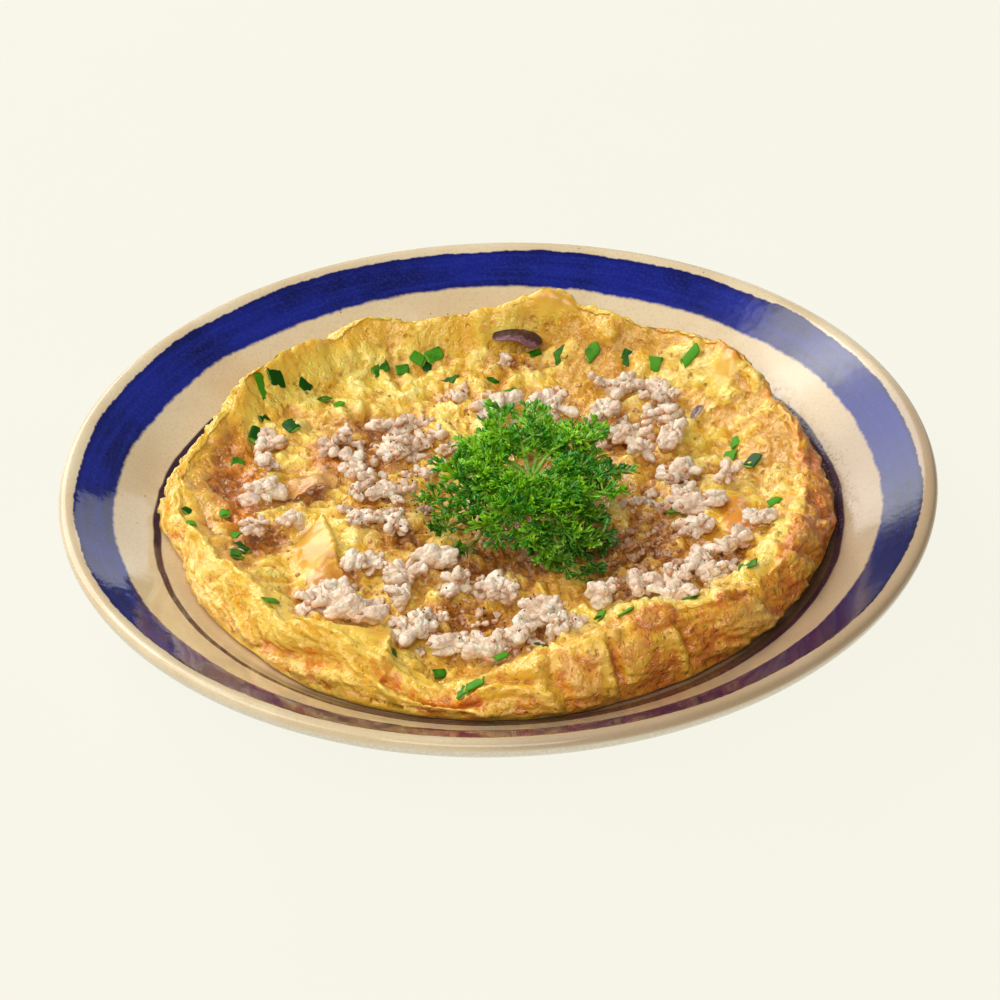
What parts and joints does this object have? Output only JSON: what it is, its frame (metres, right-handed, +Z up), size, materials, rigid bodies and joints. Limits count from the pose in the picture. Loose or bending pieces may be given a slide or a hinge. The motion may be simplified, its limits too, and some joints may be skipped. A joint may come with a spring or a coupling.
{
  "type": "fried egg omelette with minced pork on a plate",
  "caption": "Open-faced fried egg omelette with minced pork, spring onion and a parsley sprig, served on a round stoneware plate with a blue band.",
  "frame": {"origin": "centre of the plate's foot, on the table under the plate's axis", "axes": "+Z up along the plate's axis, the diner sits towards -Y, +X to the diner's right"},
  "size_m": [0.26, 0.26, 0.0443],
  "materials": {
    "stoneware": "glossy cream glaze with a brushed cobalt-blue band",
    "egg": "fried egg, moist yellow curd browned on its crests",
    "pork": "cooked minced pork, moist and lumpy",
    "parsley": "fresh curly parsley, waxy",
    "shallot": "moist purple shallot",
    "fried_shallot": "translucent fried flake"
  },
  "bodies": {
    "root": {"plate": "stoneware", "omelette": "egg", "pork_01": "pork", "pork_02": "pork", "pork_03": "pork", "pork_04": "pork", "pork_05": "pork", "pork_06": "pork", "pork_07": "pork", "pork_08": "pork", "pork_09": "pork", "pork_10": "pork", "pork_11": "pork", "pork_12": "pork", "pork_13": "pork", "pork_14": "pork", "pork_15": "pork", "pork_16": "pork", "pork_17": "pork", "pork_18": "pork", "pork_19": "pork", "pork_20": "pork", "pork_21": "pork", "pork_22": "pork", "pork_23": "pork", "pork_24": "pork", "pork_25": "pork", "pork_26": "pork", "pork_27": "pork", "pork_28": "pork", "pork_29": "pork", "pork_30": "pork", "pork_31": "pork", "pork_32": "pork", "pork_33": "pork", "pork_34": "pork", "pork_35": "pork", "pork_36": "pork", "pork_37": "pork", "pork_38": "pork", "pork_39": "pork", "pork_40": "pork", "pork_41": "pork", "pork_42": "pork", "pork_43": "pork", "pork_44": "pork", "pork_45": "pork", "pork_46": "pork", "pork_47": "pork", "pork_48": "pork", "pork_49": "pork", "pork_50": "pork", "pork_51": "pork", "pork_52": "pork", "pork_53": "pork", "parsley": "parsley", "shallot_slice": "shallot", "shallot_piece": "shallot", "fried_flake": "fried_shallot"}
  },
  "joints": []
}
